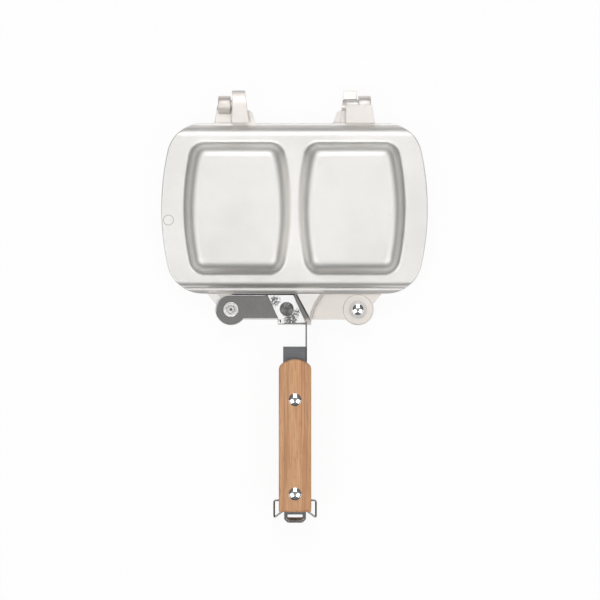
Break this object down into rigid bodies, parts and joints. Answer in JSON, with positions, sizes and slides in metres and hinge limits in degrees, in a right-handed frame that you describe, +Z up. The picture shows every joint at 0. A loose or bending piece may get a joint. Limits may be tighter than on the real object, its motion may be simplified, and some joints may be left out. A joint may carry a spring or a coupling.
{
  "type": "folding double pie iron",
  "caption": "Hinged pair of cast pockets for toasted sandwiches over a flame, with folding bamboo-gripped handles and a keeper wire.",
  "frame": {"origin": "middle of the underside of the bounding box, on the surface that the lower plate's flat faces stand on", "axes": "+X to the right, +Y from the handles towards the hinge, +Z up through the closed plates"},
  "size_m": [0.224, 0.3646, 0.042],
  "materials": {
    "cast_aluminium": "satin bead-blasted and clear coated cast aluminium",
    "satin_steel": "matt blasted stainless steel",
    "polished_steel": "polished stainless steel",
    "bamboo": "laminated bamboo, satin, grain along the grip"
  },
  "bodies": {
    "lower_half": {"lower_plate": "cast_aluminium", "lower_hinge_pin": "polished_steel", "lower_pivot_rivet": "polished_steel", "lower_pivot_disc": "polished_steel", "lower_inner_washer": "polished_steel", "lower_arm_washer": "polished_steel"},
    "upper_half": {"upper_plate": "cast_aluminium", "upper_hinge_pin": "polished_steel", "upper_pivot_rivet": "polished_steel", "upper_pivot_disc": "polished_steel", "upper_inner_washer": "polished_steel", "upper_arm_washer": "polished_steel"},
    "lower_handle": {"lower_arm": "satin_steel", "lower_stem": "polished_steel", "lower_stem_rivet": "satin_steel", "lower_grip": "bamboo", "lower_grip_rivets": "polished_steel"},
    "upper_handle": {"upper_arm": "satin_steel", "upper_stem": "polished_steel", "upper_stem_rivet": "satin_steel", "upper_grip": "bamboo", "upper_grip_rivets": "polished_steel"},
    "keeper": {"keeper_wire": "polished_steel"}
  },
  "joints": [
    {"name": "lid_hinge", "type": "hinge", "parent": "lower_half", "child": "upper_half", "pos_m": [0, 0.1703, 0.021], "axis": [-1, 0, 0], "range_deg": [0, 97]},
    {"name": "upper_handle_fold", "type": "hinge", "parent": "upper_half", "child": "upper_handle", "pos_m": [-0.0535, -0.00205, 0.0265], "axis": [0, 0, -1], "range_deg": [0, 174]},
    {"name": "lower_handle_fold", "type": "hinge", "parent": "lower_half", "child": "lower_handle", "pos_m": [0.0535, -0.00205, 0.0155], "axis": [0, 0, 1], "range_deg": [0, 174]},
    {"name": "keeper_swing", "type": "hinge", "parent": "upper_handle", "child": "keeper", "pos_m": [0.00045, -0.1625, 0.025], "axis": [-1, 0, 0], "range_deg": [0, 45]}
  ]
}
